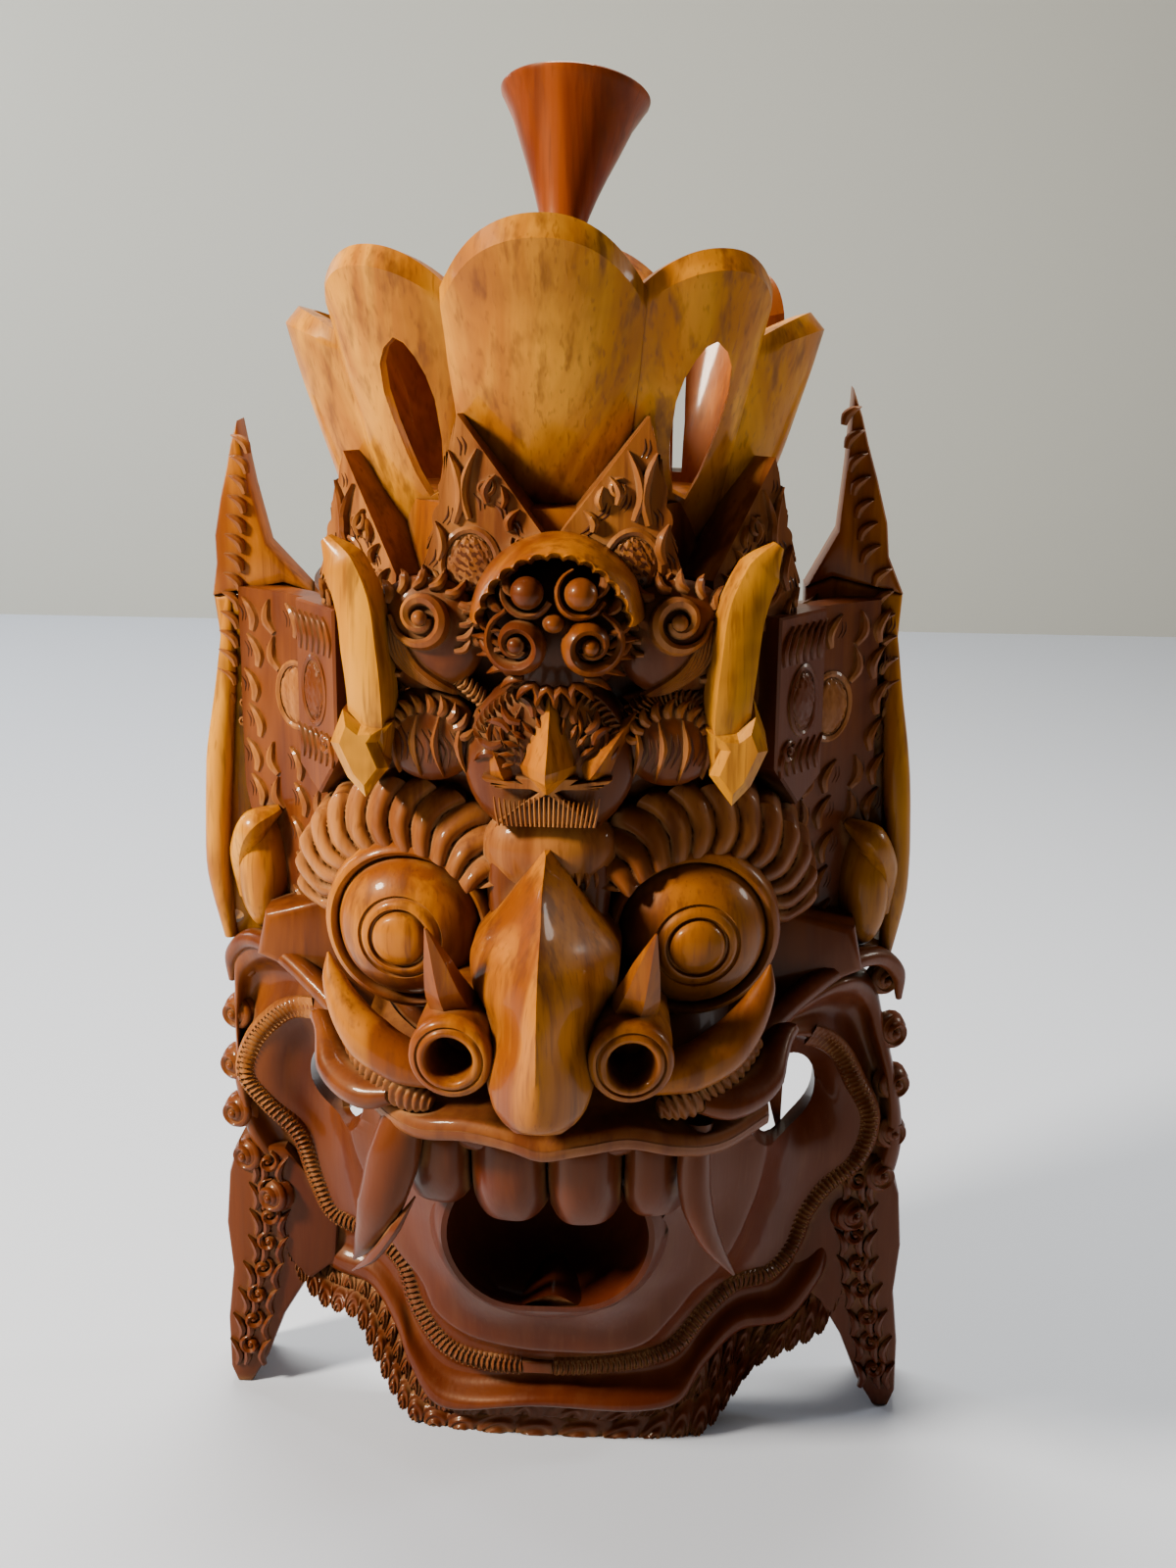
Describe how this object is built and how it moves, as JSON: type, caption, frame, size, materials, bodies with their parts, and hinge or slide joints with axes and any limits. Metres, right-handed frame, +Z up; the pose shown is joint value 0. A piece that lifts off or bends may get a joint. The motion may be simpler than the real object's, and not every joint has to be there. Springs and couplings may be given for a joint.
{
  "type": "carved wooden barong mask",
  "caption": "Standing carved wooden demon mask with a petal crown, turned trumpet finial, bulging eyes, fanged open mouth and a ruffled flange.",
  "frame": {"origin": "on the ground under the middle of the mask's box", "axes": "+Z up, the face looks along -Y, +X to the right for someone who looks at the face"},
  "size_m": [0.316, 0.2172, 0.5983],
  "materials": {
    "honey_wood": "waxed honey to red-brown carved hardwood, darker and redder low down, with pale dust in the carving",
    "red_wood": "waxed red-brown turned hardwood"
  },
  "bodies": {
    "root": {"mask": "honey_wood", "finial": "red_wood"}
  },
  "joints": []
}
